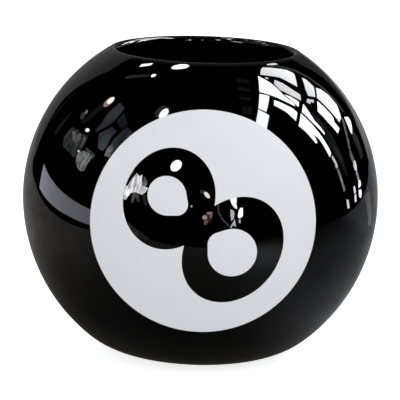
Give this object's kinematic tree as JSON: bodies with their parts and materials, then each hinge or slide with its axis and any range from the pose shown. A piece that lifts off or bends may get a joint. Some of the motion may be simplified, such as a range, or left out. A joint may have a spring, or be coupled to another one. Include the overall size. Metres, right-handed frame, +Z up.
{
  "type": "ball vase",
  "caption": "Hollow glazed ball vase with a wide rimmed mouth, a foot ring and a round white figure 8 print on one side.",
  "frame": {"origin": "centre of the foot ring, on the surface that the vase stands on", "axes": "+Z up through the mouth, along the vase's axis; the figure 8 faces -Y; +X is to the right of it"},
  "size_m": [0.15, 0.1502, 0.1291],
  "materials": {
    "bare_clay": "unglazed, fine-grained",
    "black_glaze": "high gloss",
    "white_print": "matt"
  },
  "bodies": {
    "root": {"clay_body": "bare_clay", "outer_glaze": "black_glaze", "inner_glaze": "black_glaze", "recess_glaze": "black_glaze", "number_field": "white_print", "upper_counter": "white_print", "lower_counter": "white_print"}
  },
  "joints": []
}
